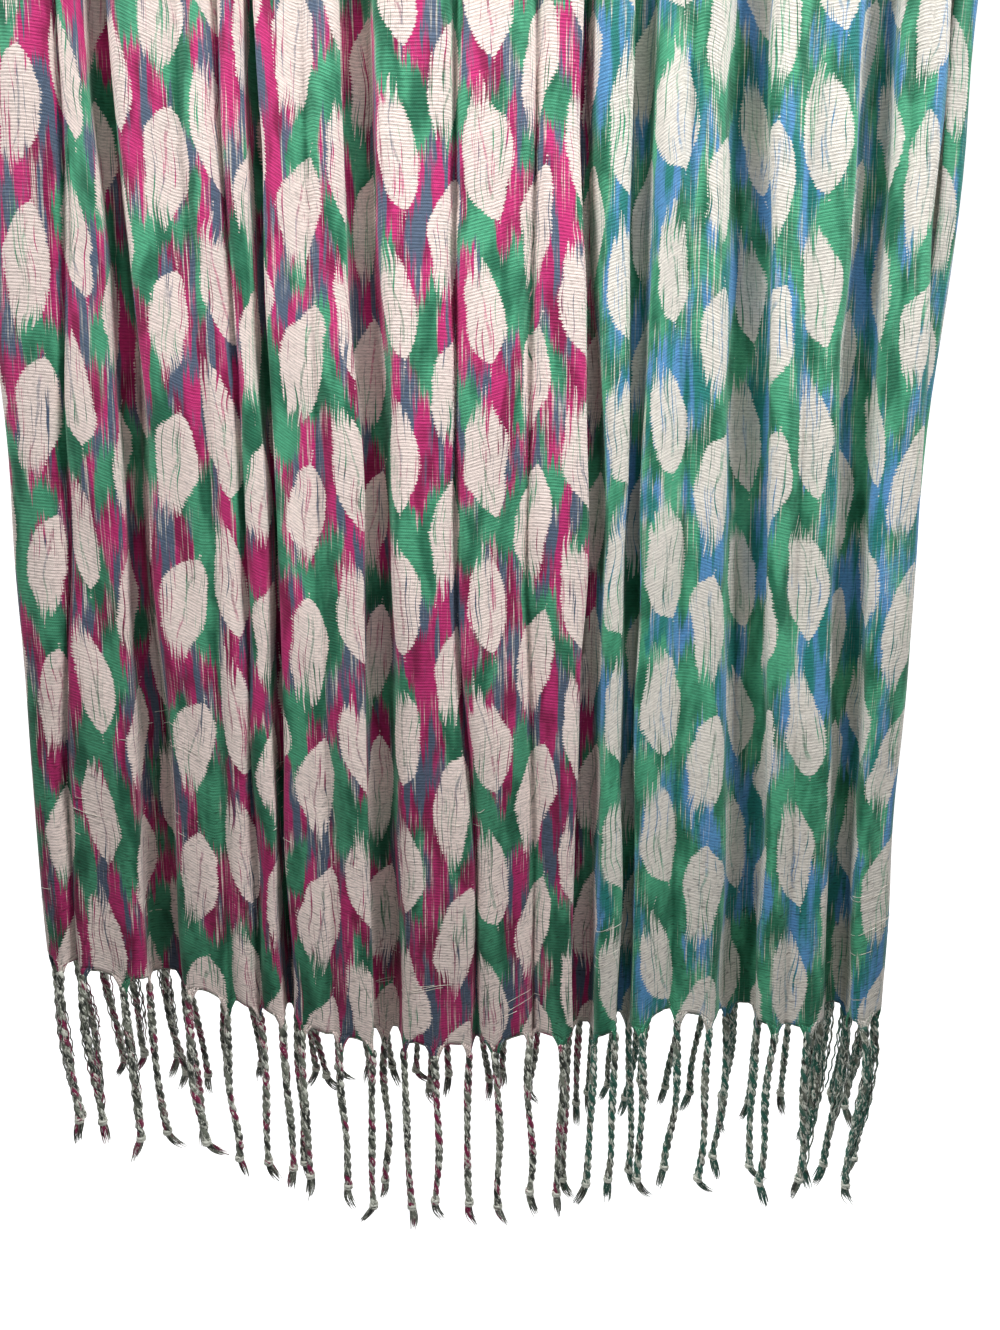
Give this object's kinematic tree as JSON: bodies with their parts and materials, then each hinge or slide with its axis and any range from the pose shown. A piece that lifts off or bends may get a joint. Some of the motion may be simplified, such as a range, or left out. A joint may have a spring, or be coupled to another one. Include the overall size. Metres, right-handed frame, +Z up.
{
  "type": "fringed scarf",
  "caption": "Light woven scarf with twisted tassel fringe, gathered in lengthwise folds and hung folded in half.",
  "frame": {"origin": "inside top of the fold-over, where the scarf bears on what it hangs from, at the middle of its width", "axes": "+Z up, +X to the right as the front fall is seen, the front fall faces -Y"},
  "size_m": [0.5006, 0.0641, 0.9267],
  "materials": {
    "printed_cloth": "light plain weave with a fine crosswise rib, printed on its outer face, matt with a faint sheen",
    "fringe_yarn": "two-ply twisted yarn, slightly shiny"
  },
  "bodies": {
    "root": {"cloth_front": "printed_cloth", "cloth_fold_over": "printed_cloth", "cloth_back": "printed_cloth", "fringe_front": "fringe_yarn", "fringe_back": "fringe_yarn"}
  },
  "joints": []
}
